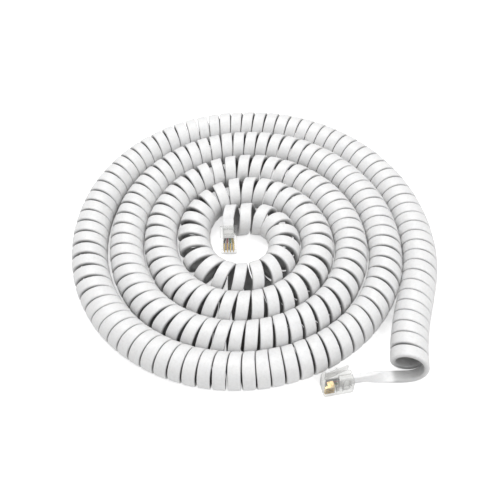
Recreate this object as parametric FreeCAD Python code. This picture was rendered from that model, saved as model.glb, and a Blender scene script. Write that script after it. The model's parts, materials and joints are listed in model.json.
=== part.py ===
import FreeCAD, Part
import bisect
import math
import os

# Coiled (retractile) telephone handset cord, laid flat as a spiral, with a 4-position modular
# plug on each end. Millimetres, +Z up. The cord rests on the plane z = 0, and the origin is the
# centre of the bottom of its bounding box. The inner end is at the middle of the spiral, the
# outer end comes off its rim.

os.makedirs("parts", exist_ok=True)

# ---------------------------------------------------------------- cord
JACKET_W = 4.64
JACKET_T = 2.15
JACKET_CHAMFER = 0.60
SLOT_W = 4.06        # cavity of the jacket that holds the four conductors
SLOT_T = 1.00
WIRE_PITCH = 1.03    # spacing of the conductors inside the jacket
WIRE_OD = 0.92       # insulated conductor
CORE_OD = 0.44       # tinsel core of a conductor
# colour and place across the jacket, in pitches; positive is towards the coil's inner end
WIRES = [("black", 1.5), ("red", 0.5), ("green", -0.5), ("yellow", -1.5)]
FLEX_GAP = 1.60      # gap left in the jacket at each place where the cord flexes

# ---------------------------------------------------------------- coil
CUT_GAP = 0.50       # gap between the sliding part of the coil and the rest
STRETCH_TURNS = 8    # wraps at the outer end that pull out first
ENTRY_ANGLE = -90.0  # angles round the coil, in degrees, where the outer end enters it
EXIT_ANGLE = 125.0   # and where the inner end leaves it
ORIGIN_SHIFT = (-1.522, -3.527)    # puts the origin in the middle of the bounding box
POLE = (-2.32 + ORIGIN_SHIFT[0], ORIGIN_SHIFT[1])

# The spiral, outside first: angle anticlockwise in degrees, distance from pole to coil axis
SPIRAL = [
    (-47.8, 94.31), (-45.2, 90.36), (-39.45, 83.98), (-31.8, 79.23), (-24, 77.02),
    (-15.3, 76.10), (-5.5, 75.40), (0, 74.94), (45, 73.89), (90, 72.96), (135, 70.06),
    (180, 66.93), (225, 67.51), (270, 65.54), (315, 63.45), (345, 61.60), (360, 60.44),
    (405, 59.39), (450, 58.46), (495, 54.40), (540, 51.04), (585, 51.97), (630, 50.58),
    (675, 48.60), (720, 45.94), (765, 43.96), (810, 42.80), (855, 39.56), (900, 36.54),
    (945, 36.89), (990, 36.19), (1035, 34.22), (1080, 31.44), (1125, 29.46), (1170, 28.07),
    (1215, 24.94), (1260, 21.98), (1305, 22.10), (1350, 21.69), (1395, 19.72), (1440, 16.94),
    (1485, 14.50), (1530, 11.83), (1550, 11.95), (1564, 13.34), (1570, 14.27),
]
SPIRAL_START = math.radians(-45.2)
SPIRAL_END = math.radians(1564.0)

# Spiral angle in degrees, outer radius of the coil
COIL_RADIUS = [
    (-50, 7.48), (-24, 7.45), (-15, 7.25), (0, 7.17), (90, 7.19), (110, 7.31), (150, 7.66),
    (225, 7.66), (265, 7.54), (290, 7.31), (320, 7.17), (345, 7.13), (360, 7.13), (450, 7.16),
    (495, 7.31), (540, 7.31), (600, 7.31), (630, 7.13), (700, 7.10), (1080, 7.10),
    (1300, 7.10), (1575, 7.13),
]

# Wraps counted from the outer end, one entry per WRAPS_STEP degrees of the spiral
WRAPS_FROM = -45.0
WRAPS_STEP = 15.0
WRAPS = [
    -0.01, 4.67, 8.46, 12.03, 15.64, 19.07, 22.50, 25.93, 29.36, 32.67, 36.09, 39.40, 42.56,
    45.71, 48.76, 51.76, 54.57, 57.45, 60.87, 64.30, 67.66, 70.93, 74.21, 77.20, 80.18, 83.08,
    85.80, 88.51, 91.34, 94.14, 97.08, 99.85, 102.40, 104.96, 107.57, 110.15, 112.59, 114.96,
    117.28, 119.56, 121.92, 124.30, 126.75, 129.06, 131.46, 133.84, 136.17, 138.43, 140.55,
    142.62, 144.67, 146.75, 148.88, 150.95, 152.94, 154.85, 156.66, 158.41, 160.13, 161.84,
    163.54, 165.21, 166.83, 168.40, 169.99, 171.64, 173.39, 175.13, 176.81, 178.46, 180.11,
    181.69, 183.17, 184.56, 185.93, 187.30, 188.65, 189.96, 191.20, 192.42, 193.62, 194.75,
    195.82, 196.84, 197.85, 198.83, 199.75, 200.60, 201.42, 202.24, 203.08, 203.94, 204.81,
    205.67, 206.51, 207.32, 208.12, 208.90, 209.65, 210.35, 211.00, 211.59, 212.14, 212.66,
    213.12, 213.54, 213.95, 214.43, 214.91,
]

# Lean of the wraps: spiral angle in degrees, a, b. A wrap is carried along the coil by
# a cos + b sin of the angle round it, in radians of winding. Angles round the coil start at
# the side away from the spiral's middle and pass over the top.
LEAN = [
    (-45, -0.34, 0.10), (0, -1.04, 0.54), (45, 0.24, 0.36), (90, -0.07, 0.12),
    (135, 0.00, 0.31), (180, -0.20, 0.16), (225, -0.23, -0.64), (270, 0.37, -1.14),
    (315, -0.83, -0.47), (360, -0.79, 0.28), (405, -0.12, 0.43), (450, -0.14, 0.19),
    (495, -0.32, 0.21), (540, -0.39, -0.14), (585, -0.87, -0.41), (630, -0.29, -0.37),
    (675, -0.66, -0.22), (720, -0.23, 0.25), (765, -0.23, 0.32), (810, -0.30, 0.19),
    (855, -0.21, 0.23), (900, -0.43, 0.01), (945, -0.48, -0.28), (990, -0.16, -0.28),
    (1035, 0.02, -0.06), (1080, 0.39, 0.27), (1125, -0.01, 0.32), (1170, -0.38, 0.22),
    (1215, -0.40, 0.16), (1260, -0.15, 0.04), (1305, 0.13, -0.08), (1350, 0.20, -0.07),
    (1395, 0.16, 0.08), (1440, 0.18, 0.22), (1485, 0.16, 0.20), (1530, 0.08, 0.10),
    (1575, 0.01, 0.01),
]

# ---------------------------------------------------------------- plugs
# A plug's own frame: x towards the nose from the rear face, y across, z towards the contacts,
# z = 0 on the middle of the flat jacket.
PLUG_L = 12.0
PLUG_W = 7.65
LATCH_SIDE_Z = -2.3
CONTACT_SIDE_Z = 3.7
FOOT_Z = -3.2          # the foot at the nose carries the latch
FOOT_X = 10.0
PIN_PITCH = 1.27
BLADE_T = 0.35         # contact thickness
PIN_SLOT_W = 0.46
CAVITY_W = 5.0         # of the cable cavity and of the conductor chamber
CAVITY_T = 2.4
CHAMBER_X = 5.3        # where the chamber starts and the conductors begin to spread
CHAMBER_T = 1.12
SPREAD_L = 2.0         # length over which the conductors spread to the contact pitch
JACKET_END_X = 5.2
WIRE_END_X = 10.35
LATCH_HINGE = (9.85, -2.85)        # x, z
LATCH_ANGLE = math.radians(15.0)   # how far the free latch stands off
LATCH_T = 0.8
LATCH_W = 4.0
LATCH_L = 10.2
TAB_W = 3.1            # narrow part of the latch, at its free end

INNER_STANDOFF = 3.2               # from the end of the coil to the inner plug
INNER_STUB = INNER_STANDOFF - FLEX_GAP   # jacket that sticks out behind each plug
OUTER_STUB = FLEX_GAP / 2
OUTER_REAR = (39.2 + ORIGIN_SHIFT[0], -67.0 + ORIGIN_SHIFT[1], 3.83)   # rear centre
OUTER_AIM = (-0.983, -0.184, 0.0)  # the way the outer plug's nose points

# ---------------------------------------------------------------- fineness of the sweeps
SPANS_PER_WRAP = 12
SPANS_PER_FACE = 24
MIN_COIL_SPANS = 6
TAIL_SPANS = 16
PLUG_WIRE_SPANS = 14
COIL_WIRE_SIDES = 6
END_WIRE_SIDES = 8     # conductors of the outer tail and the plugs

UP = (0.0, 0.0, 1.0)


# ---------------------------------------------------------------- vectors and curves
def add(point, direction, factor=1.0):
    return tuple(point[q] + factor * direction[q] for q in range(3))


def cross(a, b):
    return (a[1] * b[2] - a[2] * b[1], a[2] * b[0] - a[0] * b[2], a[0] * b[1] - a[1] * b[0])


def unit(vector):
    length = math.sqrt(sum(c ** 2 for c in vector))
    return tuple(c / length for c in vector)


def weighted(*terms):
    """Sum of (factor, point) terms."""
    return tuple(sum(factor * point[q] for factor, point in terms) for q in range(3))


def smooth_step(value):
    """Eases from 0 to 1 while value goes from 0 to 1."""
    value = min(max(value, 0.0), 1.0)
    return value * value * (3 - 2 * value)


def interval(knots, x):
    return min(max(bisect.bisect_right(knots, x) - 1, 0), len(knots) - 2)


def linear(table):
    """Piecewise linear function through (degrees, value) rows; takes radians."""
    xs = [math.radians(row[0]) for row in table]
    ys = [row[1] for row in table]

    def value_at(x):
        i = interval(xs, x)
        return ys[i] + (x - xs[i]) / (xs[i + 1] - xs[i]) * (ys[i + 1] - ys[i])

    return value_at


def natural_spline(table):
    """Natural cubic spline through (degrees, value) rows; radians to value and slope."""
    xs = [math.radians(row[0]) for row in table]
    ys = [row[1] for row in table]
    count = len(xs)
    span = [xs[i + 1] - xs[i] for i in range(count - 1)]
    chord_slope = [(ys[i + 1] - ys[i]) / span[i] for i in range(count - 1)]

    # forward sweep of the tridiagonal system
    ratio = [0.0]
    partial = [0.0]
    for i in range(1, count - 1):
        pivot = 2 * (xs[i + 1] - xs[i - 1]) - span[i - 1] * ratio[i - 1]
        target = 3 * (chord_slope[i] - chord_slope[i - 1])
        ratio.append(span[i] / pivot)
        partial.append((target - span[i - 1] * partial[i - 1]) / pivot)

    # back substitution gives the coefficients of each piece
    first = [0.0] * count
    second = [0.0] * count
    third = [0.0] * count
    for i in range(count - 2, -1, -1):
        second[i] = partial[i] - ratio[i] * second[i + 1]
        first[i] = chord_slope[i] - span[i] * (second[i + 1] + 2 * second[i]) / 3
        third[i] = (second[i + 1] - second[i]) / (3 * span[i])

    def value_and_slope(x):
        i = interval(xs, x)
        t = x - xs[i]
        value = ys[i] + t * (first[i] + t * (second[i] + t * third[i]))
        return value, first[i] + t * (2 * second[i] + 3 * t * third[i])

    return value_and_slope


# ---------------------------------------------------------------- spiral axis and winding
spiral_radius_at = natural_spline(SPIRAL)
coil_radius_at = linear(COIL_RADIUS)
wraps_at = natural_spline([(WRAPS_FROM + WRAPS_STEP * i, v) for i, v in enumerate(WRAPS)])
lean_cos_at = natural_spline([(angle, a) for angle, a, b in LEAN])
lean_sin_at = natural_spline([(angle, b) for angle, a, b in LEAN])


def axis_point(theta):
    """Point on the coil's axis and unit tangent, as x, y, x, y, at spiral angle theta."""
    radius, slope = spiral_radius_at(theta)
    cosine = math.cos(theta)
    sine = math.sin(theta)
    tangent_x = slope * cosine - radius * sine
    tangent_y = slope * sine + radius * cosine
    length = math.hypot(tangent_x, tangent_y)
    return (POLE[0] + radius * cosine, POLE[1] + radius * sine,
            tangent_x / length, tangent_y / length)


# Winding angle, and its rate, tabulated in small steps of spiral angle. The winding is scaled
# to start at ENTRY_ANGLE and end at EXIT_ANGLE exactly.
STEP_COUNT = int(round((SPIRAL_END - SPIRAL_START) / math.radians(0.05)))
STEP = (SPIRAL_END - SPIRAL_START) / STEP_COUNT
first_wrap = wraps_at(SPIRAL_START)[0]
counted_wraps = wraps_at(SPIRAL_END)[0] - first_wrap
part_wrap = (EXIT_ANGLE - ENTRY_ANGLE) / 360.0
TOTAL_WINDING = 2 * math.pi * (part_wrap + round(counted_wraps - part_wrap))
winding_scale = TOTAL_WINDING / counted_wraps
windings = []
rates = []
for i in range(STEP_COUNT + 1):
    wraps, wraps_slope = wraps_at(SPIRAL_START + STEP * i)
    windings.append((wraps - first_wrap) * winding_scale)
    rates.append(wraps_slope * winding_scale)


def spiral_angle(winding):
    """Spiral angle at a winding angle, which is 0 at the outer end."""
    if winding <= 0:
        return SPIRAL_START + winding / rates[0]
    if winding >= TOTAL_WINDING:
        return SPIRAL_END + (winding - TOTAL_WINDING) / rates[-1]
    i = interval(windings, winding)
    # quadratic inside the step, so that neighbouring sections vary smoothly
    rate = rates[i]
    rate_change = rates[i + 1] - rate
    rest = winding - windings[i]
    t = rest / ((rate + rates[i + 1]) / 2)
    for _ in range(3):
        error = rate * t + rate_change * t * t / (2 * STEP) - rest
        t -= error / (rate + rate_change * t / STEP)
    return SPIRAL_START + STEP * i + t


def coil_frame(winding):
    """Centre of the coil, unit vectors along it and outwards to the wrap, and the unit vector
    along the direction the cord runs round the coil."""
    angle = winding + math.radians(ENTRY_ANGLE)
    cosine = math.cos(angle)
    sine = math.sin(angle)
    theta = spiral_angle(winding)
    lean = lean_cos_at(theta)[0] * cosine + lean_sin_at(theta)[0] * sine
    theta = spiral_angle(winding + lean)
    x, y, tangent_x, tangent_y = axis_point(theta)
    centre = (x, y, coil_radius_at(theta))   # the coil rests on z = 0
    along = (tangent_x, tangent_y, 0.0)
    outward = (cosine * tangent_y, -cosine * tangent_x, sine)
    round_coil = (-sine * tangent_y, sine * tangent_x, cosine)
    return centre, along, outward, round_coil


def coil_point(winding, across=0.0, inwards=0.0):
    """Point of the wrapped cord; inwards is measured from the middle of the jacket."""
    centre, along, outward, _ = coil_frame(winding)
    radius = centre[2] - JACKET_T / 2 - inwards
    return add(add(centre, outward, radius), along, across)


# ---------------------------------------------------------------- sections
# Closed loops of (across, depth from the middle of the jacket)
def jacket_loops():
    w = JACKET_W / 2
    t = JACKET_T / 2
    c = JACKET_CHAMFER
    outside = [(-w + c, -t), (w - c, -t), (w, -t + c), (w, t - c),
               (w - c, t), (-w + c, t), (-w, t - c), (-w, -t + c)]
    w = SLOT_W / 2
    t = SLOT_T / 2
    return [outside, [(-w, -t), (w, -t), (w, t), (-w, t)]]


def round_loop(across, diameter, sides):
    turns = [2 * math.pi * k / sides for k in range(sides)]
    return [(across + diameter / 2 * math.cos(turn), diameter / 2 * math.sin(turn))
            for turn in turns]


def hollow_wire_loops(across):
    """Insulation round the tinsel core."""
    return [round_loop(across, WIRE_OD, END_WIRE_SIDES), round_loop(across, CORE_OD, END_WIRE_SIDES)]


def core_loops(across):
    return [round_loop(across, CORE_OD, END_WIRE_SIDES)]


# ---------------------------------------------------------------- swept solids
def polygon(points):
    corners = [FreeCAD.Vector(*p) for p in points]
    return Part.makePolygon(corners + corners[:1])


def ring_face(loops):
    """Flat face inside the first loop and outside any other."""
    wires = [polygon(loop) for loop in loops]
    if len(wires) == 1:
        return Part.Face(wires[0])
    return Part.makeFace(wires, "Part::FaceMakerBullseye")


def ruled_face(poles_a, poles_b):
    """Face between two uniform cubic B-splines with clamped ends."""
    spans = len(poles_a) - 3
    poles = [[FreeCAD.Vector(*a), FreeCAD.Vector(*b)] for a, b in zip(poles_a, poles_b)]
    surface = Part.BSplineSurface()
    surface.buildFromPolesMultsKnots(poles, [4] + [1] * (spans - 1) + [4], [2, 2],
                                     list(range(spans + 1)), [0, 1], False, False, 3, 1)
    return surface.toShape()


def swept(section, count):
    """Solid through section(i), i = 0..count, each a list of closed loops, outer first.
    Sections -2..count + 2 steer the ends."""
    rows = {i: section(i) for i in range(-2, count + 3)}
    sizes = [len(loop) for loop in rows[0]]
    flat = {i: [p for loop in rows[i] for p in loop] for i in rows}
    corners = range(sum(sizes))
    # control points that bring the curves close to the section corners
    control = {i: [weighted((-1 / 6, flat[i - 1][j]), (8 / 6, flat[i][j]), (-1 / 6, flat[i + 1][j]))
                   for j in corners] for i in range(-1, count + 2)}

    def on_curve(i, j):
        if i in (0, count):
            return flat[i][j]
        return weighted((1 / 6, control[i - 1][j]), (4 / 6, control[i][j]),
                        (1 / 6, control[i + 1][j]))

    def poles(start, end, j):
        after_start = weighted((2 / 3, control[start][j]), (1 / 3, control[start + 1][j]))
        before_end = weighted((1 / 3, control[end - 1][j]), (2 / 3, control[end][j]))
        middle = [control[i][j] for i in range(start + 1, end)]
        return [on_curve(start, j), after_start] + middle + [before_end, on_curve(end, j)]

    faces = []
    start = 0
    while start < count:
        end = min(start + SPANS_PER_FACE, count)
        if count - end < SPANS_PER_FACE // 2:
            end = count
        lines = [poles(start, end, j) for j in corners]
        offset = 0
        for size in sizes:
            for k in range(size):
                faces.append(ruled_face(lines[offset + k], lines[offset + (k + 1) % size]))
            offset += size
        start = end
    faces.append(ring_face(rows[0]))
    faces.append(ring_face(rows[count]))
    body = Part.Compound(faces)
    body.sewShape()
    solid = Part.makeSolid(body.Shells[0])
    if solid.Volume < 0:
        solid.reverse()
    return solid


def coil_solid(start, end, loops):
    """Sweeps the loops round the coil between two winding angles."""
    spans = int(math.ceil((end - start) / (2 * math.pi) * SPANS_PER_WRAP))
    count = max(MIN_COIL_SPANS, spans)

    def section(i):
        winding = start + (end - start) * i / count
        return [[coil_point(winding, across, depth) for across, depth in loop]
                for loop in loops]

    return swept(section, count)


def framed_solid(frame, count, loops):
    """Sweeps the loops through frame(i), which gives point, across and normal."""
    def section(i):
        point, across_dir, normal = frame(i)
        return [[add(add(point, across_dir, across), normal, -depth) for across, depth in loop]
                for loop in loops]

    return swept(section, count)


def save(name, shape):
    shape.exportStep("parts/%s.step" % name)


# ---------------------------------------------------------------- coil
def build_coil():
    """The part that stays and the part at the outer end that pulls out."""
    cut = 2 * math.pi * STRETCH_TURNS
    half_gap = CUT_GAP / 2 / (COIL_RADIUS[0][1] - JACKET_T / 2)   # as winding angle
    for prefix, start, end in [("coil", cut + half_gap, TOTAL_WINDING),
                               ("stretch", 0.0, cut - half_gap)]:
        save(prefix + "_jacket", coil_solid(start, end, jacket_loops()))
        for colour, place in WIRES:
            loop = round_loop(place * WIRE_PITCH, WIRE_OD, COIL_WIRE_SIDES)
            save("%s_wire_%s" % (prefix, colour), coil_solid(start, end, [loop]))


# ---------------------------------------------------------------- outer tail
def tail_path(aim):
    """Frames from the coil, where the jacket lies flat, to the plug, where it is on edge."""
    small_turn = 0.02   # to either side of the coil's end, for its direction
    back = unit(add(coil_point(-small_turn), coil_point(small_turn), -1.0))
    start = add(coil_point(0.0), back, FLEX_GAP)
    end = add(OUTER_REAR, aim, -(OUTER_STUB + FLEX_GAP))
    chord = math.dist(start, end)
    twist_from = 0.12   # the twist, in fractions of the tail
    twist_length = 0.76

    def frame(i):
        u = i / TAIL_SPANS
        # Hermite curve and its derivative
        point = weighted((2 * u ** 3 - 3 * u ** 2 + 1, start),
                         ((u ** 3 - 2 * u ** 2 + u) * chord, back),
                         (-2 * u ** 3 + 3 * u ** 2, end),
                         ((u ** 3 - u ** 2) * chord, aim))
        tangent = unit(weighted((6 * u * u - 6 * u, start),
                                ((3 * u * u - 4 * u + 1) * chord, back),
                                (-6 * u * u + 6 * u, end),
                                ((3 * u * u - 2 * u) * chord, aim)))
        level = unit(cross(tangent, UP))
        upright = cross(level, tangent)
        twist = math.pi / 2 * smooth_step((u - twist_from) / twist_length)
        across = weighted((math.cos(twist), level), (math.sin(twist), upright))
        # the normal is on the face that was turned outwards on the coil
        return point, across, cross(tangent, across)

    return frame


def build_outer_tail(aim):
    frame = tail_path(aim)
    save("outer_tail_jacket", framed_solid(frame, TAIL_SPANS, jacket_loops()))
    cores = []
    for colour, place in WIRES:
        across = place * WIRE_PITCH
        save("outer_tail_wire_" + colour,
             framed_solid(frame, TAIL_SPANS, hollow_wire_loops(across)))
        cores.append(framed_solid(frame, TAIL_SPANS, core_loops(across)))
    save("outer_tail_tinsel_cores", Part.Compound(cores))


# ---------------------------------------------------------------- plug parts, in the plug's frame
def box(x0, x1, y0, y1, z0, z1):
    return Part.makeBox(x1 - x0, y1 - y0, z1 - z0, FreeCAD.Vector(x0, y0, z0))


def prism_y(points, width, y=0.0):
    """Polygon of (x, z) points, thickened across the plug about y."""
    face = Part.Face(polygon([(px, y - width / 2, pz) for px, pz in points]))
    return face.extrude(FreeCAD.Vector(0, width, 0))


def prism_z(points, z0, z1):
    face = Part.Face(polygon([(px, py, z0) for px, py in points]))
    return face.extrude(FreeCAD.Vector(0, 0, z1 - z0))


def pin_y(i):
    return (i - 1.5) * PIN_PITCH


def plug_housing():
    over = 1.0   # how far tools reach past the housing
    w = PLUG_W / 2
    low = LATCH_SIDE_Z
    high = CONTACT_SIDE_Z
    top = high + over
    side_outline = [   # x, z
        (0.3, low), (FOOT_X, low), (FOOT_X, FOOT_Z), (PLUG_L - 0.7, FOOT_Z),
        (PLUG_L, FOOT_Z + 0.9), (PLUG_L, high - 0.7), (PLUG_L - 0.5, high), (0.3, high),
        (0.0, high - 0.3), (0.0, low + 0.3),
    ]
    top_outline = [    # x, y
        (0.0, -w + 0.25), (0.25, -w), (PLUG_L - 0.9, -w), (PLUG_L, -w + 0.6),
        (PLUG_L, w - 0.6), (PLUG_L - 0.9, w), (0.25, w), (0.0, w - 0.25),
    ]
    body = prism_y(side_outline, PLUG_W + 2 * over).common(
        prism_z(top_outline, FOOT_Z - over, top))

    cavity_w = CAVITY_W / 2
    cavity_t = CAVITY_T / 2
    chamber_t = CHAMBER_T / 2
    mouth = [          # x, z: flares the cable cavity at the rear face
        (-over, -2.0), (0.0, -1.6), (0.8, -cavity_t), (0.8, cavity_t), (0.0, 1.6), (-over, 2.0),
    ]
    recess = 0.25      # depth of the recess in each flank
    cuts = [
        box(-over, 5.4, -cavity_w, cavity_w, -cavity_t, cavity_t),       # cable cavity
        prism_y(mouth, CAVITY_W),
        box(CHAMBER_X, 10.6, -cavity_w, cavity_w, -chamber_t, chamber_t),
        box(1.2, 4.4, -2.2, 2.2, 1.1, top),                              # cable anchor window
        box(5.6, 6.7, -2.4, 2.4, 0.5, top),                              # wire anchor window
        box(0.8, 5.0, -w - over, -w + recess, -0.4, 1.6),
        box(0.8, 5.0, w - recess, w + over, -0.4, 1.6),
    ]
    for i in range(4):
        y0 = pin_y(i) - PIN_SLOT_W / 2
        y1 = pin_y(i) + PIN_SLOT_W / 2
        cuts.append(box(7.4, PLUG_L + over, y0, y1, 2.1, top))   # open at the nose
        cuts.append(box(7.5, 10.4, y0, y1, 0.5, 2.2))            # down to the chamber
    return body.cut(Part.makeCompound(cuts)).removeSplitter()


def contact(i):
    """Blade with two points that reach into the conductor."""
    outline = [        # x, z
        (7.7, 3.35), (11.1, 3.35), (11.4, 3.2), (11.5, 2.9), (11.5, 2.35), (10.2, 2.35),
        (10.2, 0.3), (9.95, -0.4), (9.7, 0.3), (8.2, 0.3), (7.95, -0.4), (7.7, 0.3),
    ]
    return prism_y(outline, BLADE_T, pin_y(i))


def cable_anchor():
    outline = [(1.5, 1.3), (1.8, 0.95), (3.0, 0.95), (4.1, 1.9), (4.1, 3.0), (1.5, 3.0)]
    return prism_y(outline, 4.2)


def wire_anchor():
    outline = [(5.75, 0.7), (5.9, 0.42), (6.4, 0.42), (6.55, 0.7), (6.55, 2.9), (5.75, 2.9)]
    return prism_y(outline, 4.6)


def latch():
    # outlines as u towards the free end and v towards the housing, from the hinge
    t = LATCH_T / 2
    base = [(0.0, -t), (5.4, -t), (5.4, t), (0.0, t)]
    shoulder = [(4.2, -t + 0.05), (5.4, -t - 0.55), (5.4, t), (4.2, t)]
    tab = [(5.3, -t), (LATCH_L - 0.5, -t + 0.1), (LATCH_L, -t + 0.25), (LATCH_L, t), (5.3, t)]
    cosine = math.cos(LATCH_ANGLE)
    sine = math.sin(LATCH_ANGLE)

    def piece(outline, width):
        return prism_y([(LATCH_HINGE[0] - u * cosine - v * sine,
                         LATCH_HINGE[1] - u * sine + v * cosine) for u, v in outline], width)

    solid = piece(base, LATCH_W).fuse(piece(shoulder, LATCH_W))
    return solid.fuse(piece(tab, TAB_W)).removeSplitter()


def plug_wire(place, start, loops):
    """Conductor that spreads from the jacket's spacing to the contacts' spacing."""
    def frame(i):
        x = start + (WIRE_END_X - start) * i / PLUG_WIRE_SPANS
        spread = smooth_step((x - CHAMBER_X) / SPREAD_L)
        y = -place * (WIRE_PITCH + (PIN_PITCH - WIRE_PITCH) * spread)
        return (x, y, 0.0), (0.0, 1.0, 0.0), UP

    return framed_solid(frame, PLUG_WIRE_SPANS, loops)


def flat_jacket(start):
    face = ring_face([[(start, across, depth) for across, depth in loop]
                      for loop in jacket_loops()])
    return face.extrude(FreeCAD.Vector(JACKET_END_X - start, 0, 0))


def build_plug(prefix, rear, x, z, stub):
    """Plug with its rear centre at rear, nose along x and contacts towards z."""
    y = cross(z, x)
    matrix = FreeCAD.Matrix(x[0], y[0], z[0], rear[0],
                            x[1], y[1], z[1], rear[1],
                            x[2], y[2], z[2], rear[2],
                            0, 0, 0, 1)

    def placed(shape):
        moved = shape.copy()
        moved.transformShape(matrix, True)
        return moved

    save(prefix + "_plug_housing", placed(plug_housing()))
    save(prefix + "_latch_tab", placed(latch()))
    save(prefix + "_cable_anchor", placed(cable_anchor()))
    save(prefix + "_wire_anchor", placed(wire_anchor()))
    save(prefix + "_cord_end", placed(flat_jacket(-stub)))
    for i in range(4):
        save("%s_contact_%d" % (prefix, i + 1), placed(contact(i)))
    cores = []
    for colour, place in WIRES:
        save("%s_plug_wire_%s" % (prefix, colour),
             placed(plug_wire(place, -stub, hollow_wire_loops(0.0))))
        cores.append(placed(plug_wire(place, -stub, core_loops(0.0))))
    save(prefix + "_plug_tinsel_cores", Part.Compound(cores))


def build_outer_plug(aim):
    """Lies on its side, contacts towards -Y and latch towards +Y."""
    build_plug("outer", OUTER_REAR, aim, cross(UP, aim), OUTER_STUB)


def build_inner_plug():
    """Follows the coil's last wrap straight off, nose down and contacts up."""
    _, _, outward, round_coil = coil_frame(TOTAL_WINDING)
    aim = unit(round_coil)
    rear = add(coil_point(TOTAL_WINDING), aim, INNER_STANDOFF)
    build_plug("inner", rear, aim, outward, INNER_STUB)


outer_aim = unit(OUTER_AIM)
build_coil()
build_outer_tail(outer_aim)
build_outer_plug(outer_aim)
build_inner_plug()
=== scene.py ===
# A coiled flat cord with four conductors and a clear plug at each end.
# The helix lies on the floor (z = 0) and its axis winds inwards in a flat spiral, anticlockwise
# seen from above. At the outer end a flat tail runs to one plug, which points towards -x; the
# other plug sits straight on the last wrap, near the middle of the spiral.
# Shapes are worked out in millimetres and turned into metres as each mesh is made.
import json
import math
from types import SimpleNamespace

import bmesh
import bpy
import numpy as np
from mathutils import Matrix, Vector


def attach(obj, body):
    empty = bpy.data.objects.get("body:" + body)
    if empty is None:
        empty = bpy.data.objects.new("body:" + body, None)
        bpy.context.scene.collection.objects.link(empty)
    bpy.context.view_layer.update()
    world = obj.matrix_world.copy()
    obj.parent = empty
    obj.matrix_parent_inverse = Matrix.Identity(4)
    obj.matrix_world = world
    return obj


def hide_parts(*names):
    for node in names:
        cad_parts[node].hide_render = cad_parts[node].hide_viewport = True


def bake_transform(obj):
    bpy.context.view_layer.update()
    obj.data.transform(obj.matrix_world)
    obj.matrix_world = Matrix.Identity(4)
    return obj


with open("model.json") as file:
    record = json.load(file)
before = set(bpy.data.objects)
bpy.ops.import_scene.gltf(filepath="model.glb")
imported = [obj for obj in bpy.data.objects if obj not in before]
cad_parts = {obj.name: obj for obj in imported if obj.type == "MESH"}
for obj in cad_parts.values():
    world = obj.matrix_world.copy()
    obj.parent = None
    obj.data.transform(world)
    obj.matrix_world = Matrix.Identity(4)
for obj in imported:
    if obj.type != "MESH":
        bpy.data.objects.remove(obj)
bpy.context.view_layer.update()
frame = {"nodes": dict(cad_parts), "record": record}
record = frame["record"]
scene = bpy.context.scene
MM = 0.001

# ---------------------------------------------------------------- dimensions, in millimetres
JACKET_WIDTH, JACKET_THICKNESS = 4.64, 2.15
CORNER_RADIUS = 0.58
CORNER_STEPS = 4
CROWN = 0.03                   # rise of the broad faces at their middle
WIDEST, NARROWEST = 5.02, 3.9  # limits of the wound jacket's width
END_WIDTH = 5.0                # width at the inner end of the helix
WRAP_GAP = 0.36                # gap between neighbouring wraps
WIRE_PITCH, WIRE_DIAMETER = 1.03, 0.92
PIN_PITCH = 1.27
LANES = [("black", 1.5), ("red", 0.5), ("green", -0.5), ("yellow", -1.5)]  # place in pitches
FLEX_GAP = 1.60                # bare length where a cord piece meets the next
STRETCH_TURNS = 8              # wraps at the outer end, built as a piece of their own
EXIT_INNER = 125.0             # where the last wrap leaves, in degrees round the coil
POLE = (-2.32, 0.0)            # pole of the spiral, before the shift
ORIGIN_SHIFT = (-1.522, -3.527)
OUTER_REAR = (39.2, -67.0, 3.83)  # rear of the outer plug, before the shift
OUTER_AIM = (-0.983, -0.184)      # the way the outer plug points
INNER_STANDOFF = 3.2           # from the last wrap to the rear of the inner plug
JACKET_IN_PLUG = 5.2           # jacket length inside a plug

# (degrees round the pole, distance of the coil's axis from the pole)
SPIRAL = [
    (-47.8, 94.31), (-45.2, 90.36), (-39.45, 83.98), (-31.8, 79.23), (-24, 77.02), (-15.3, 76.10),
    (-5.5, 75.40), (0, 74.94), (45, 73.89), (90, 72.96), (135, 70.06), (180, 66.93), (225, 67.51),
    (270, 65.54), (315, 63.45), (345, 61.60), (360, 60.44), (405, 59.39), (450, 58.46),
    (495, 54.40), (540, 51.04), (585, 51.97), (630, 50.58), (675, 48.60), (720, 45.94),
    (765, 43.96), (810, 42.80), (855, 39.56), (900, 36.54), (945, 36.89), (990, 36.19),
    (1035, 34.22), (1080, 31.44), (1125, 29.46), (1170, 28.07), (1215, 24.94), (1260, 21.98),
    (1305, 22.10), (1350, 21.69), (1395, 19.72), (1440, 16.94), (1485, 14.50), (1530, 11.83),
    (1550, 11.95), (1564, 13.34), (1570, 14.27)]
SPIRAL_START, SPIRAL_END = -45.2, 1564.0
ANGLE_STEP = 0.05              # degrees between samples of the winding
# (degrees round the pole, outer radius of the coil)
COIL_RADIUS = [
    (-50, 7.48), (-24, 7.45), (-15, 7.25), (0, 7.17), (90, 7.19), (110, 7.31), (150, 7.66),
    (225, 7.66), (265, 7.54), (290, 7.31), (320, 7.17), (345, 7.13), (360, 7.13), (450, 7.16),
    (495, 7.31), (540, 7.31), (600, 7.31), (630, 7.13), (700, 7.10), (1080, 7.10), (1300, 7.10),
    (1575, 7.13)]
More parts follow.
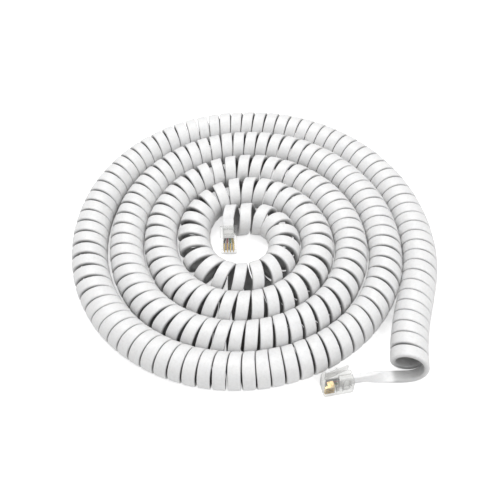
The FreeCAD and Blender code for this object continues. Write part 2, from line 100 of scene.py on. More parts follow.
# running winding measure, one value every WRAPS_STEP degrees round the pole
WRAPS_FROM, WRAPS_STEP = -45.0, 15.0
WRAPS = [
    -0.01, 4.67, 8.46, 12.03, 15.64, 19.07, 22.50, 25.93, 29.36, 32.67, 36.09, 39.40, 42.56,
    45.71, 48.76, 51.76, 54.57, 57.45, 60.87, 64.30, 67.66, 70.93, 74.21, 77.20, 80.18, 83.08,
    85.80, 88.51, 91.34, 94.14, 97.08, 99.85, 102.40, 104.96, 107.57, 110.15, 112.59, 114.96,
    117.28, 119.56, 121.92, 124.30, 126.75, 129.06, 131.46, 133.84, 136.17, 138.43, 140.55,
    142.62, 144.67, 146.75, 148.88, 150.95, 152.94, 154.85, 156.66, 158.41, 160.13, 161.84,
    163.54, 165.21, 166.83, 168.40, 169.99, 171.64, 173.39, 175.13, 176.81, 178.46, 180.11,
    181.69, 183.17, 184.56, 185.93, 187.30, 188.65, 189.96, 191.20, 192.42, 193.62, 194.75,
    195.82, 196.84, 197.85, 198.83, 199.75, 200.60, 201.42, 202.24, 203.08, 203.94, 204.81,
    205.67, 206.51, 207.32, 208.12, 208.90, 209.65, 210.35, 211.00, 211.59, 212.14, 212.66,
    213.12, 213.54, 213.95, 214.43, 214.91]
# (degrees round the pole, cosine part, sine part) of the wraps' lean, in radians of winding
TILT = [
    (-45, -0.34, 0.10), (0, -1.04, 0.54), (45, 0.24, 0.36), (90, -0.07, 0.12),
    (135, 0.00, 0.31), (180, -0.20, 0.16), (225, -0.23, -0.64), (270, 0.37, -1.14),
    (315, -0.83, -0.47), (360, -0.79, 0.28), (405, -0.12, 0.43), (450, -0.14, 0.19),
    (495, -0.32, 0.21), (540, -0.39, -0.14), (585, -0.87, -0.41), (630, -0.29, -0.37),
    (675, -0.66, -0.22), (720, -0.23, 0.25), (765, -0.23, 0.32), (810, -0.30, 0.19),
    (855, -0.21, 0.23), (900, -0.43, 0.01), (945, -0.48, -0.28), (990, -0.16, -0.28),
    (1035, 0.02, -0.06), (1080, 0.39, 0.27), (1125, -0.01, 0.32), (1170, -0.38, 0.22),
    (1215, -0.40, 0.16), (1260, -0.15, 0.04), (1305, 0.13, -0.08), (1350, 0.20, -0.07),
    (1395, 0.16, 0.08), (1440, 0.18, 0.22), (1485, 0.16, 0.20), (1530, 0.08, 0.10),
    (1575, 0.01, 0.01)]


# ---------------------------------------------------------------- curves
def unit(vectors):
    vectors = np.asarray(vectors, float)
    return vectors / np.linalg.norm(vectors, axis=-1, keepdims=True)


def smoothstep(x):
    x = np.clip(x, 0, 1)
    return x * x * (3 - 2 * x)


def natural_spline(degrees, values):
    """Natural cubic spline; returns a function of radians that gives value and slope."""
    xs, ys = np.radians(degrees), np.array(values, float)
    count = len(xs)
    gap = np.diff(xs)
    rise = np.diff(ys) / gap
    ratio, partial, square = np.zeros(count), np.zeros(count), np.zeros(count)
    for i in range(1, count - 1):
        pivot = 2 * (xs[i + 1] - xs[i - 1]) - gap[i - 1] * ratio[i - 1]
        ratio[i] = gap[i] / pivot
        partial[i] = (3 * (rise[i] - rise[i - 1]) - gap[i - 1] * partial[i - 1]) / pivot
    for i in range(count - 2, -1, -1):
        square[i] = partial[i] - ratio[i] * square[i + 1]
    first = rise - gap * (square[1:] + 2 * square[:-1]) / 3
    cube = np.diff(square) / (3 * gap)

    def evaluate(x):
        x = np.asarray(x, float)
        i = np.clip(np.searchsorted(xs, x, side="right") - 1, 0, count - 2)
        t = x - xs[i]
        value = ys[i] + t * (first[i] + t * (square[i] + t * cube[i]))
        return value, first[i] + t * (2 * square[i] + 3 * t * cube[i])

    return evaluate


def run_lengths(points):
    return np.concatenate([[0.0], np.cumsum(np.linalg.norm(np.diff(points, axis=0), axis=1))])


# ---------------------------------------------------------------- winding of the coil
spiral_radius = natural_spline(*zip(*SPIRAL))
wraps_at = natural_spline([WRAPS_FROM + WRAPS_STEP * i for i in range(len(WRAPS))], WRAPS)
tilt_degrees, tilt_cos, tilt_sin = zip(*TILT)
lean_cos = natural_spline(tilt_degrees, tilt_cos)
lean_sin = natural_spline(tilt_degrees, tilt_sin)
coil_degrees, coil_radii = zip(*COIL_RADIUS)

angle_start, angle_end = math.radians(SPIRAL_START), math.radians(SPIRAL_END)
sample_count = int(round((angle_end - angle_start) / math.radians(ANGLE_STEP)))
angle_step = (angle_end - angle_start) / sample_count
sample_angles = angle_start + angle_step * np.arange(sample_count + 1)

# The winding is scaled a little so that the last wrap ends exactly at its exit direction.
wraps_start, wraps_end = float(wraps_at(angle_start)[0]), float(wraps_at(angle_end)[0])
part_turn = (90.0 + EXIT_INNER) / 360.0
TOTAL = 2 * math.pi * (part_turn + round(wraps_end - wraps_start - part_turn))
winding_scale = TOTAL / (wraps_end - wraps_start)
wraps_value, wraps_slope = wraps_at(sample_angles)
sample_windings = (wraps_value - wraps_start) * winding_scale
sample_rates = wraps_slope * winding_scale


def angle_at(winding):
    """Angle round the pole at a winding angle, carried straight on past both ends."""
    angle = np.interp(winding, sample_windings, sample_angles)
    angle = np.where(winding < 0, angle_start + winding / sample_rates[0], angle)
    beyond = angle_end + (winding - TOTAL) / sample_rates[-1]
    return np.where(winding > TOTAL, beyond, angle)


def coil_at(winding):
    """Stations of the wound jacket: middle of its section, direction of the coil's axis,
    outward direction, direction of winding round the axis, and pitch."""
    winding = np.asarray(winding, float)
    phi = winding - math.pi / 2
    angle = angle_at(winding)
    angle = angle_at(winding + lean_cos(angle)[0] * np.cos(phi)
                     + lean_sin(angle)[0] * np.sin(phi))
    radius, radius_slope = spiral_radius(angle)
    cos, sin = np.cos(angle), np.sin(angle)
    x = POLE[0] + ORIGIN_SHIFT[0] + radius * cos
    y = POLE[1] + ORIGIN_SHIFT[1] + radius * sin
    along_x, along_y = radius_slope * cos - radius * sin, radius_slope * sin + radius * cos
    speed = np.hypot(along_x, along_y)
    along_x, along_y = along_x / speed, along_y / speed
    coil_radius = np.interp(angle, np.radians(coil_degrees), coil_radii)
    flat, upright = np.zeros_like(x), np.array([0.0, 0.0, 1.0])
    right = np.stack([along_y, -along_x, flat], 1)
    outward = np.cos(phi)[:, None] * right + np.sin(phi)[:, None] * upright
    axis = np.stack([x, y, coil_radius], 1)
    return SimpleNamespace(
        mid=axis + outward * (coil_radius - JACKET_THICKNESS / 2)[:, None],
        along=np.stack([along_x, along_y, flat], 1),
        outward=outward,
        onward=-np.sin(phi)[:, None] * right + np.cos(phi)[:, None] * upright,
        pitch=2 * math.pi * speed / np.interp(angle, sample_angles, sample_rates))


# ---------------------------------------------------------------- meshes
def smooth(mesh):
    mesh.polygons.foreach_set("use_smooth", [True] * len(mesh.polygons))


def sharp_attribute(mesh):
    found = mesh.attributes.get("sharp_edge")
    return found or mesh.attributes.new("sharp_edge", "BOOLEAN", "EDGE")


def skin(name, rings, strip=None):
    """Closed mesh over rings of points (stations, ring, 3), with flat ends and sharp end rims."""
    count, ring = rings.shape[:2]
    i = np.arange(count - 1)[:, None] * ring
    j = np.arange(ring)[None, :]
    following = (j + 1) % ring
    quads = np.stack([i + j, i + following, i + ring + following, i + ring + j], -1)
    faces = quads.reshape(-1, 4).tolist()
    faces.append(list(range(ring))[::-1])
    faces.append([(count - 1) * ring + k for k in range(ring)])
    mesh = bpy.data.meshes.new(name)
    mesh.from_pydata((rings.reshape(-1, 3) * MM).tolist(), [], faces)
    work = bmesh.new()
    work.from_mesh(mesh)
    if work.calc_volume(signed=True) < 0:
        bmesh.ops.reverse_faces(work, faces=work.faces[:])
    work.to_mesh(mesh)
    work.free()
    if strip is not None:
        attribute = mesh.attributes.new("strip", "FLOAT_VECTOR", "POINT")
        attribute.data.foreach_set("vector", strip.reshape(-1))
    smooth(mesh)
    ends = np.zeros(len(mesh.edges) * 2, np.int32)
    mesh.edges.foreach_get("vertices", ends)
    ends = ends.reshape(-1, 2)
    rims = (ends < ring).all(1) | (ends >= (count - 1) * ring).all(1)
    sharp_attribute(mesh).data.foreach_set("value", rims)
    ob = bpy.data.objects.new(name, mesh)
    scene.collection.objects.link(ob)
    ob["stations"] = count
    ob["ring"] = ring
    return ob


def jacket_section():
    """Rounded section, a row per point: signs of the corner across and inwards, offsets from
    the corner's centre across and inwards, and crown."""
    rows = []
    for side, depth, start in ((1, -1, -90), (1, 1, 0), (-1, 1, 90), (-1, -1, 180)):
        for k in range(CORNER_STEPS + 1):
            a = math.radians(start + 90.0 * k / CORNER_STEPS)
            rows.append((side, depth, CORNER_RADIUS * math.cos(a), CORNER_RADIUS * math.sin(a), 0))
        if side == depth:
            # the middle of a broad face
            rows.append((0, depth, 0, depth * CORNER_RADIUS, depth * CROWN))
    return np.array(rows, float).T


def sweep(name, points, across, normal, width=JACKET_WIDTH, strip_start=0.0):
    """Flat jacket through stations; across and normal are unit vectors. Its "strip" attribute
    holds the length along it and the places across and inwards, for the surface grain and painted
    shade."""
    half_width = np.broadcast_to(np.asarray(width, float) / 2, (len(points),))
    side, depth, side_offset, depth_offset, crown = jacket_section()
    aside = side * (half_width[:, None] - CORNER_RADIUS) + side_offset
    inwards = depth * (JACKET_THICKNESS / 2 - CORNER_RADIUS) + depth_offset
    rings = (points[:, None, :] + across[:, None, :] * aside[:, :, None]
             - normal[:, None, :] * (inwards + crown)[None, :, None])
    strip = np.zeros(rings.shape, np.float32)
    strip[:, :, 0] = ((run_lengths(points) + strip_start) * MM)[:, None]
    strip[:, :, 1] = (side * (half_width.mean() - CORNER_RADIUS) + side_offset) * MM
    strip[:, :, 2] = inwards * MM
    return skin(name, rings, strip)


def wire(name, points, across, normal, ring):
    """Round insulated conductor through stations."""
    around = 2 * math.pi * np.arange(ring) / ring
    spokes = (np.cos(around)[None, :, None] * across[:, None, :]
              + np.sin(around)[None, :, None] * normal[:, None, :])
    return skin(name, points[:, None, :] + WIRE_DIAMETER / 2 * spokes)


def blend_by_station(ob):
    """Bakes the object's placement into its mesh."""
    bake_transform(ob)


# ---------------------------------------------------------------- shader helpers
# In a colour Mix node these are the factor and the two colours.
MIX_FACTOR, MIX_A, MIX_B, MIX_RESULT = 0, 6, 7, 2


def feed(tree, node, sockets):
    """Sets each named input to a value, or links it to an output socket."""
    for key, value in sockets.items():
        if isinstance(value, bpy.types.NodeSocket):
            tree.links.new(value, node.inputs[key])
        else:
            node.inputs[key].default_value = value


def add(tree, kind, sockets=None, **properties):
    node = tree.nodes.new(kind)
    for key, value in properties.items():
        setattr(node, key, value)
    feed(tree, node, sockets or {})
    return node


def material(name):
    mat = bpy.data.materials.new(name)
    mat.use_nodes = True
    tree = mat.node_tree
    tree.nodes.clear()
    out = add(tree, "ShaderNodeOutputMaterial")
    bsdf = add(tree, "ShaderNodeBsdfPrincipled")
    tree.links.new(bsdf.outputs["BSDF"], out.inputs["Surface"])
    return mat, tree, bsdf


def object_place(tree):
    return add(tree, "ShaderNodeTexCoord").outputs["Object"]


def stretched(tree, vector, scale):
    return add(tree, "ShaderNodeMapping", {"Scale": scale, "Vector": vector}).outputs["Vector"]


def noise(tree, vector, scale, detail=3.0, rough=0.55):
    return add(tree, "ShaderNodeTexNoise", {
        "Scale": scale, "Detail": detail, "Roughness": rough, "Vector": vector}).outputs["Fac"]


def ramp(tree, fac, *stops):
    """Colour ramp with two stops, each (position, colour)."""
    node = add(tree, "ShaderNodeValToRGB", {"Fac": fac})
    for element, (position, colour) in zip(node.color_ramp.elements, stops):
        element.position = position
        element.color = (*colour, 1.0)
    return node.outputs["Color"]


def remap(tree, value, low, high, start=0.0, stop=1.0, kind="LINEAR"):
    """Maps start..stop to low..high."""
    return add(tree, "ShaderNodeMapRange", {
        "From Min": start, "From Max": stop, "To Min": low, "To Max": high, "Value": value},
        interpolation_type=kind).outputs["Result"]


def multiply(tree, colour, by, factor=1.0):
    return add(tree, "ShaderNodeMix", {MIX_FACTOR: factor, MIX_A: colour, MIX_B: by},
               data_type="RGBA", blend_type="MULTIPLY").outputs[MIX_RESULT]


def bump(tree, height, strength, distance, **onto):
    return add(tree, "ShaderNodeBump", {
        "Strength": strength, "Distance": distance, "Height": height, **onto}).outputs["Normal"]


# ---------------------------------------------------------------- materials
EDGE_SHADE, OPEN_END_SHADE = 0.40, 0.72  # painted shade: brightness left inside the closed wraps, and at the open end
BOUNCE = 0.80                      # brightness of the jacket to light that has bounced
OPEN_RANGE = (20.0, 70.0)          # strip length over which open wraps turn to closed, mm
LEAVING_RANGE = (4.8, 7.2)         # tail length over which the painted shade fades, mm
FLAT_TONE = 1.09                   # painted light: the flat jacket is painted brighter than the wound one


def jacket_material(name, tone=1.0, strip=True, wound=False, leaving=False):
    """Extruded PVC: satin skin, faint lengthwise drawing lines, a soft mottle and a little dust.
    Where it is wound, its edges and inner face are painted darker than its outer face, as painted
    shade between the wraps."""
    mat, tree, bsdf = material(name)
    place = object_place(tree)
    along = place
    if strip:
        at_strip = add(tree, "ShaderNodeAttribute", attribute_name="strip").outputs["Vector"]
        along = stretched(tree, at_strip, (0.05, 1.0, 1.0))
    lines = noise(tree, along, scale=5200.0, detail=2.0)
    fine = noise(tree, place, scale=2600.0, detail=4.0, rough=0.6)
    mottle = noise(tree, place, scale=160.0)
    dust = noise(tree, place, scale=900.0, detail=5.0, rough=0.7)
    base = ramp(tree, mottle, (0.30, (0.800 * tone, 0.800 * tone, 0.803 * tone)),
                (0.70, (0.850 * tone, 0.850 * tone, 0.848 * tone)))
    grime = ramp(tree, dust, (0.46, (1.0, 1.0, 1.0)), (0.72, (0.90, 0.897, 0.890)))
    colour = multiply(tree, base, grime, factor=0.8)
    if wound or leaving:
        split = add(tree, "ShaderNodeSeparateXYZ", {"Vector": at_strip}).outputs
    if wound:
        # painted shade: the open outer end is painted less dark than the closed wraps
        deepest_shade = remap(tree, split["X"], OPEN_END_SHADE, EDGE_SHADE,
                        start=OPEN_RANGE[0] * MM, stop=OPEN_RANGE[1] * MM)
        shade_factor = remap(tree, split["Z"], 1.0, deepest_shade,
                     start=(-JACKET_THICKNESS / 2 + 0.12) * MM,
                     stop=(JACKET_THICKNESS / 2 - 0.45) * MM, kind="SMOOTHSTEP")
        colour = multiply(tree, colour, shade_factor)
    # painted shade: the tail leaving the coil starts as dark as the coil's open end and brightens
    # along it
    if leaving:
        shade_factor = remap(tree, split["X"], OPEN_END_SHADE / tone, 1.0, start=LEAVING_RANGE[0] * MM,
                     stop=LEAVING_RANGE[1] * MM, kind="SMOOTHSTEP")
        colour = multiply(tree, colour, shade_factor)
    # light that has already bounced inside the coil counts for less, so the gaps stay deep
    bounced = add(tree, "ShaderNodeLightPath").outputs["Is Diffuse Ray"]
    drawn = bump(tree, lines, strength=0.10, distance=0.00006)
    feed(tree, bsdf, {
        "Base Color": multiply(tree, colour, remap(tree, bounced, 1.0, BOUNCE)),
        "Roughness": remap(tree, fine, 0.34, 0.52),
        "IOR": 1.50,
        "Subsurface Weight": 0.10,
        "Subsurface Radius": (0.0012, 0.0011, 0.0010),
        "Subsurface Scale": 0.6,
        "Normal": bump(tree, fine, strength=0.35, distance=0.00007, Normal=drawn)})
    return mat


def clear_material(name):
    """Moulded clear plastic: see-through body, bright skin, and painted shade that greys it where
    seen edge-on.
    """
    mat, tree, bsdf = material(name)
    place = object_place(tree)
    flow = noise(tree, place, scale=420.0)
    fine = noise(tree, place, scale=3000.0, detail=4.0)
    tint = ramp(tree, flow, (0.3, (0.84, 0.84, 0.83)), (0.7, (0.95, 0.95, 0.94)))
    grazing = add(tree, "ShaderNodeLayerWeight", {"Blend": 0.5}).outputs["Facing"]
    # painted shade: the base colour greys where the surface is seen edge-on
    edge_on_grey_shade = ramp(tree, grazing, (0.35, (1.0, 1.0, 1.0)), (0.85, (0.42, 0.42, 0.43)))
    rippled = bump(tree, flow, strength=0.25, distance=0.00008)
    feed(tree, bsdf, {
        "Base Color": multiply(tree, tint, edge_on_grey_shade),
        "Roughness": remap(tree, fine, 0.04, 0.16),
        "IOR": 1.45,
        "Normal": rippled})
    see_through = add(tree, "ShaderNodeBsdfTransparent", {
        "Color": ramp(tree, flow, (0.3, (0.945, 0.945, 0.94)), (0.7, (0.985, 0.985, 0.98)))})
    facing = add(tree, "ShaderNodeLayerWeight", {"Blend": 0.30, "Normal": rippled})
    # exponent that keeps the skin thin except near the rim
    edge = add(tree, "ShaderNodeMath", {0: facing.outputs["Facing"], 1: 1.6}, operation="POWER")
    mix = add(tree, "ShaderNodeMixShader", {
        "Fac": remap(tree, edge.outputs["Value"], 0.10, 0.72),
        1: see_through.outputs["BSDF"],
        2: bsdf.outputs["BSDF"]})
    feed(tree, tree.nodes["Material Output"], {"Surface": mix.outputs["Shader"]})
    return mat


def metal_material(name, low, high, rough=(0.22, 0.42), grain=2200.0):
    """Brushed metal, its grain drawn out along the object's y axis."""
    mat, tree, bsdf = material(name)
    place = object_place(tree)
    brushed = noise(tree, stretched(tree, place, (1.0, 0.15, 1.0)), scale=grain)
    wear = noise(tree, place, scale=500.0, detail=4.0)
    feed(tree, bsdf, {
        "Base Color": ramp(tree, wear, (0.35, low), (0.7, high)),
        "Metallic": 1.0,
        "Roughness": remap(tree, brushed, *rough),
        "Normal": bump(tree, brushed, strength=0.2, distance=0.00003)})
    return mat


def insulation_material(name, low, high):
    mat, tree, bsdf = material(name)
    place = object_place(tree)
    tone = noise(tree, place, scale=700.0)
    fine = noise(tree, place, scale=4000.0)
    feed(tree, bsdf, {
        "Base Color": ramp(tree, tone, (0.35, low), (0.68, high)),
        "Roughness": remap(tree, fine, 0.32, 0.55),
        "Normal": bump(tree, fine, strength=0.2, distance=0.00003)})
    return mat


MATERIALS = {
    "jacket": jacket_material("white_pvc_plain", strip=False),
    "jacket_wound": jacket_material("white_pvc", wound=True),
    "jacket_flat": jacket_material("white_pvc_flat", tone=FLAT_TONE),
    "jacket_leaving": jacket_material("white_pvc_leaving", tone=FLAT_TONE, leaving=True),
    "clear_plastic": clear_material("clear_polycarbonate"),
    "contact": metal_material("gold_plate", low=(0.70, 0.50, 0.20), high=(0.95, 0.76, 0.42)),
    "tinsel": metal_material("copper_tinsel", low=(0.55, 0.27, 0.13), high=(0.85, 0.52, 0.32),
                             rough=(0.3, 0.55), grain=5000.0),
}
for colour, low, high in (
        ("black", (0.012, 0.012, 0.016), (0.035, 0.035, 0.042)),
        ("red", (0.36, 0.030, 0.035), (0.52, 0.060, 0.060)),
        ("green", (0.030, 0.15, 0.050), (0.06, 0.25, 0.09)),
        ("yellow", (0.58, 0.42, 0.07), (0.76, 0.60, 0.14))):
    slot_name = "insulation_" + colour
    MATERIALS[slot_name] = insulation_material(slot_name, low, high)


def set_material(ob, look):
    ob.data.materials.clear()
    ob.data.materials.append(MATERIALS[look])


def dress(ob, slot_name, look=None):
    set_material(ob, look or slot_name)


slot_of = {part["node"]: part["material_slot"] for part in record["subparts"]}
for node, ob in frame["nodes"].items():
    set_material(ob, slot_of[node])

# ---------------------------------------------------------------- the coil
STATIONS_PER_WRAP = 40
WIRE_STATIONS_PER_WRAP = 28
STRIP_PER_RADIAN = 6.4         # jacket length in one radian of winding, mm
SINK = 0.03                    # the jacket sits this far inside the coil radius, mm
WOBBLE_STANDOFF = 0.8          # part of the wobble that moves the jacket outwards
# small slow changes of width and stand-off: (size in mm, waves per radian, phase)
WOBBLE = [(0.035, 0.61, 1.3), (0.03, 0.237, 0.4), (0.02, 1.43, 0.0)]
winding_cut = 2 * math.pi * STRETCH_TURNS


def band_width(winding, pitch):
    """Width that fits between the wraps before and after, which is less inside a bend."""
    before = np.maximum(winding - 2 * math.pi, 0.0)
    after = np.minimum(winding + 2 * math.pi, TOTAL)
    room = np.linalg.norm(coil_at(after).mid - coil_at(before).mid, axis=1)
    has_both = (after - before) / (2 * math.pi) > 1.999
    room = np.where(has_both, room / 2.0, pitch)
    wide = np.clip(room - WRAP_GAP, NARROWEST, WIDEST)
    widen = smoothstep(winding / (1.5 * math.pi))
    before_end = np.clip((TOTAL - winding) / math.pi, 0, 1)
    wound = wide * before_end + END_WIDTH * (1 - before_end)
    return JACKET_WIDTH + (wound - JACKET_WIDTH) * widen


def band(name, start, stop):
    """Wound jacket between two winding angles; returns the object and its stations."""
    count = int(round((stop - start) / (2 * math.pi) * STATIONS_PER_WRAP)) + 1
    winding = np.linspace(start, stop, count)
    coil = coil_at(winding)
    wobble = sum(size * np.sin(winding * rate + phase) for size, rate, phase in WOBBLE)
    fade = np.clip(np.minimum(winding, TOTAL - winding) / (2 * math.pi), 0, 1)
    points = coil.mid + coil.outward * (-SINK + WOBBLE_STANDOFF * wobble * fade)[:, None]
    ob = sweep(name, points, coil.along, coil.outward,
               width=band_width(winding, coil.pitch) + wobble * fade,
               strip_start=start * STRIP_PER_RADIAN)
    dress(ob, "jacket", "jacket_wound")
    return ob, winding


coil_cord, _ = band("coil_cord", winding_cut, TOTAL)
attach(coil_cord, "spiral_coil")
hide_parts("coil_jacket")

stretch_cord, stretch_winding = band("stretch_cord", 0.0, winding_cut)
blend_by_station(stretch_cord)
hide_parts("stretch_jacket")

wire_winding = np.linspace(0.0, winding_cut, STRETCH_TURNS * WIRE_STATIONS_PER_WRAP + 1)
wire_coil = coil_at(wire_winding)
for colour, lane in LANES:
    ob = wire("stretch_conductor_" + colour, wire_coil.mid + wire_coil.along * (lane * WIRE_PITCH),
              wire_coil.along, wire_coil.outward, ring=10)
    dress(ob, "insulation_" + colour)
    blend_by_station(ob)
    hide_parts("stretch_wire_" + colour)

# ---------------------------------------------------------------- ends of the coil, and plugs
# Each plug has its rear point and its axes: x the way it points, y across, z normal to the jacket.
coil_start = coil_at([0.0, -0.02, 0.02])
start_mid, start_along, start_outward = (
    rows[0] for rows in (coil_start.mid, coil_start.along, coil_start.outward))
leaving = unit(coil_start.mid[1] - coil_start.mid[2])

aim = unit([*OUTER_AIM, 0.0])
outer_normal = unit(np.cross(aim, (0.0, 0.0, -1.0)))
outer_rear = np.array([OUTER_REAR[0] + ORIGIN_SHIFT[0], OUTER_REAR[1] + ORIGIN_SHIFT[1],
                       OUTER_REAR[2]])
outer_plug = SimpleNamespace(rear=outer_rear, x=aim, y=np.cross(outer_normal, aim), z=outer_normal)

coil_end = coil_at([TOTAL])
inner_mid, inner_along, inner_normal = coil_end.mid[0], coil_end.along[0], coil_end.outward[0]
inner_aim = unit(coil_end.onward[0])
inner_plug = SimpleNamespace(rear=inner_mid + INNER_STANDOFF * inner_aim, x=inner_aim,
                             y=np.cross(inner_normal, inner_aim), z=inner_normal)

# ---------------------------------------------------------------- the outer tail
TAIL_STATIONS = 49
TAIL_SPLIT = 24                # station where the two halves of the tail meet
TWIST_START, TWIST_SPAN = 0.12, 0.76  # part of the tail over which it twists a quarter turn

tail_start = start_mid + FLEX_GAP * leaving
tail_end = outer_rear - 1.5 * FLEX_GAP * aim
chord = float(np.linalg.norm(tail_start - tail_end))


def tail_at(u):
    """Point, across and normal on the tail's Hermite curve, u from 0 at the coil to 1."""
    point = ((2 * u ** 3 - 3 * u ** 2 + 1) * tail_start
             + (u ** 3 - 2 * u ** 2 + u) * chord * leaving
             + (-2 * u ** 3 + 3 * u ** 2) * tail_end
             + (u ** 3 - u ** 2) * chord * aim)
    heading = unit((6 * u * u - 6 * u) * tail_start
                   + (3 * u * u - 4 * u + 1) * chord * leaving
                   + (-6 * u * u + 6 * u) * tail_end
                   + (3 * u * u - 2 * u) * chord * aim)
    level = unit(np.cross(heading, (0.0, 0.0, 1.0)))
    up = np.cross(level, heading)
    twist = math.pi / 2 * smoothstep((u - TWIST_START) / TWIST_SPAN)
    across = math.cos(twist) * level + math.sin(twist) * up
    return point, across, -np.cross(across, heading)


def resample(stations, step=0.35):
    """Evenly spaced points, across and normal vectors, and the length run at each."""
    points, across, normal = (np.array(column) for column in zip(*stations))
    runs = run_lengths(points)
    count = max(4, int(round(runs[-1] / step)) + 1)
    lengths = np.linspace(0, runs[-1], count)

    def even(rows):
        return np.stack([np.interp(lengths, runs, rows[:, q]) for q in range(3)], 1)

    across, normal = unit(even(across)), even(normal)
    normal = unit(normal - across * (normal * across).sum(1)[:, None])
    return even(points), across, normal, lengths


# the tail's directions are turned to agree with the coil's end section
tail = [tail_at(u) for u in np.linspace(0, 1, TAIL_STATIONS)]
across_sign = 1.0 if np.dot(tail[0][1], start_along) > 0 else -1.0
normal_sign = 1.0 if np.dot(tail[0][2], start_outward) > 0 else -1.0
tail = [(point, across * across_sign, normal * normal_sign) for point, across, normal in tail]

# from the end section of the coil across the flex gap
joint = [(start_mid, start_along, start_outward)]
for part in (0.35, 0.7):
    joint.append((start_mid + part * FLEX_GAP * leaving,
                  unit((1 - part) * start_along + part * tail[0][1]),
                  unit((1 - part) * start_outward + part * tail[0][2])))
points, across, normal, lengths = resample(joint + tail[:TAIL_SPLIT + 1])
coil_side = sweep("tail_cord_coil_side", points, across, normal)
dress(coil_side, "jacket", "jacket_leaving")
blend_by_station(coil_side)

into_plug = [(outer_rear + x * aim, tail[-1][1], tail[-1][2])
             for x in (-1.5, -0.8, 0.0, 2.0, JACKET_IN_PLUG)]
points, across, normal, lengths = resample(tail[TAIL_SPLIT:] + into_plug)
plug_side = sweep("tail_cord_plug_side", points, across, normal)
dress(plug_side, "jacket", "jacket_flat")
blend_by_station(plug_side)
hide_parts("outer_tail_jacket")
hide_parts("outer_cord_end")

# ---------------------------------------------------------------- the inner end
# straight off the last wrap and into its plug, narrowing to the flat width on the way
points, across, normal, lengths = resample(
    [(inner_mid + x * inner_aim, inner_along, inner_normal)
     for x in np.linspace(0, INNER_STANDOFF + JACKET_IN_PLUG, 30)], step=0.25)
narrowing = smoothstep((lengths - 1.2) / (INNER_STANDOFF - 1.4))
inner_cord = sweep("inner_cord", points, across, normal,
                   width=END_WIDTH + (JACKET_WIDTH - END_WIDTH) * narrowing)
dress(inner_cord, "jacket", "jacket_flat")
blend_by_station(inner_cord)
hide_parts("inner_cord_end")

# ---------------------------------------------------------------- plug pieces
MERGE_DISTANCE = 2e-6          # metres
FLAT_ANGLE, BEVEL_ANGLE, SHARP_ANGLE = (math.radians(a) for a in (1.5, 28.0, 50))
# conductors fan out from the jacket's pitch to the contacts' pitch, mm from the plug's rear
FAN_START, FAN_LENGTH, CONDUCTOR_END = 5.3, 2.0, 10.35

body_of = {node: body for body, nodes in record["behaviour"]["bodies"].items() for node in nodes}


def edge_angle_over(edge, angle):
    return edge.calc_face_angle(0.0) > angle


def moulded(node, name, edge_width):
    """The CAD shape of a plug piece, with bevelled edges (edge_width in mm)."""
    mesh = frame["nodes"][node].data.copy()
    mesh.name = name
    ob = bpy.data.objects.new(name, mesh)
    scene.collection.objects.link(ob)
    work = bmesh.new()
    work.from_mesh(mesh)
    bmesh.ops.remove_doubles(work, verts=work.verts[:], dist=MERGE_DISTANCE)
    bmesh.ops.dissolve_limit(work, angle_limit=FLAT_ANGLE, verts=work.verts[:],
                             edges=work.edges[:])
    corners = [e for e in work.edges
               if len(e.link_faces) == 2 and edge_angle_over(e, BEVEL_ANGLE)]
    bmesh.ops.bevel(work, geom=corners, offset=edge_width * MM, offset_type="OFFSET", segments=2,
                    profile=0.5, affect="EDGES", clamp_overlap=True)
    bmesh.ops.triangulate(work, faces=[f for f in work.faces if len(f.verts) > 4])
    work.to_mesh(mesh)
    work.free()
    if mesh.attributes.get("custom_normal"):
        mesh.attributes.remove(mesh.attributes["custom_normal"])
    smooth(mesh)
    sharp = sharp_attribute(mesh)
    work = bmesh.new()
    work.from_mesh(mesh)
    flags = [len(e.link_faces) != 2 or edge_angle_over(e, SHARP_ANGLE) for e in work.edges]
    work.free()
    sharp.data.foreach_set("value", flags)
    dress(ob, slot_of[node])
    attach(ob, body_of[node])
    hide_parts(node)


def plug_conductor(side, plug, start, colour, lane):
    x = np.linspace(start, CONDUCTOR_END, 40)
    fan = smoothstep((x - FAN_START) / FAN_LENGTH)
    y = -lane * (WIRE_PITCH + (PIN_PITCH - WIRE_PITCH) * fan)
    points = plug.rear + x[:, None] * plug.x + y[:, None] * plug.y
    ob = wire(f"{side}_conductor_{colour}", points, np.tile(plug.y, (len(x), 1)),
              np.tile(plug.z, (len(x), 1)), ring=18)
    dress(ob, "insulation_" + colour)
    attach(ob, side + "_plug")
    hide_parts(f"{side}_plug_wire_{colour}")


for side, plug, wire_start in (("outer", outer_plug, -FLEX_GAP / 2),
                               ("inner", inner_plug, -(INNER_STANDOFF - FLEX_GAP))):
    moulded(side + "_plug_housing", side + "_plug_body", edge_width=0.10)
    moulded(side + "_latch_tab", side + "_latch", edge_width=0.12)
    moulded(side + "_cable_anchor", side + "_strain_bar", edge_width=0.08)
    moulded(side + "_wire_anchor", side + "_conductor_bar", edge_width=0.06)
    for i in range(1, 5):
        moulded(f"{side}_contact_{i}", f"{side}_blade_{i}", edge_width=0.05)
    for colour, lane in LANES:
        plug_conductor(side, plug, wire_start, colour, lane)

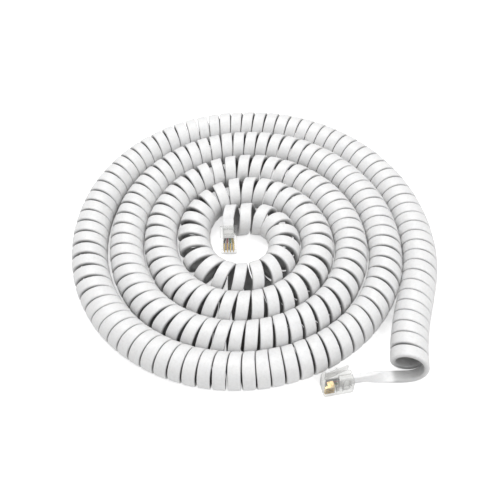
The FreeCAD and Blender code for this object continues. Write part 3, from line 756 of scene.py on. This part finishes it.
# ---------------------------------------------------------------- floor, light, camera (metres)
CAMERA_BACK, CAMERA_HEIGHT = 0.21399, 0.26426  # from the shifted origin, towards -y and up
FLOOR_GLOW = 0.60                      # emission seen by the camera only
WORLD_LIGHT, WORLD_SEEN = 0.47, 1.0    # world strength as light, and as the camera sees it


def by_camera_ray(tree, otherwise, seen):
    is_camera = add(tree, "ShaderNodeLightPath").outputs["Is Camera Ray"]
    return remap(tree, is_camera, otherwise, seen)


def point_at(ob, target):
    ob.rotation_euler = (Vector(target) - ob.location).to_track_quat("-Z", "Y").to_euler()


def area_light(name, location, size, power):
    """Square light facing the origin."""
    data = bpy.data.lights.new(name, "AREA")
    data.shape = "SQUARE"
    data.size = size
    data.energy = power
    ob = bpy.data.objects.new(name, data)
    scene.collection.objects.link(ob)
    ob.location = location
    point_at(ob, (0, 0, 0))


bpy.ops.mesh.primitive_plane_add(size=6.0, location=(0, 0, -0.00002))
floor = bpy.context.object
floor.name = "floor"
floor_white, tree, bsdf = material("floor_white")
feed(tree, bsdf, {
    "Base Color": (0.90, 0.90, 0.90, 1),
    "Roughness": 0.9,
    "Specular IOR Level": 0.1,
    "Emission Color": (1, 1, 1, 1),
    "Emission Strength": by_camera_ray(tree, otherwise=0.0, seen=FLOOR_GLOW)})
floor.data.materials.append(floor_white)

world = bpy.data.worlds.new("studio")
scene.world = world
world.use_nodes = True
tree = world.node_tree
feed(tree, tree.nodes["Background"], {
    "Color": (1, 1, 1, 1),
    "Strength": by_camera_ray(tree, otherwise=WORLD_LIGHT, seen=WORLD_SEEN)})

area_light("key", location=(-0.12, 0.22, 0.75), size=0.55, power=3.9)
area_light("fill", location=(0.30, -0.40, 0.60), size=0.5, power=1.6)

lens = bpy.data.cameras.new("camera")
camera = bpy.data.objects.new("camera", lens)
scene.collection.objects.link(camera)
lens.sensor_width = 36.0
lens.sensor_fit = "HORIZONTAL"
lens.lens = 55.22
lens.clip_start = 0.01
shift_x, shift_y = ORIGIN_SHIFT[0] * MM, ORIGIN_SHIFT[1] * MM
camera.location = (shift_x, -CAMERA_BACK + shift_y, CAMERA_HEIGHT)
point_at(camera, (shift_x, shift_y, 0))
scene.camera = camera
scene.view_settings.view_transform = "Standard"
scene.view_settings.look = "None"
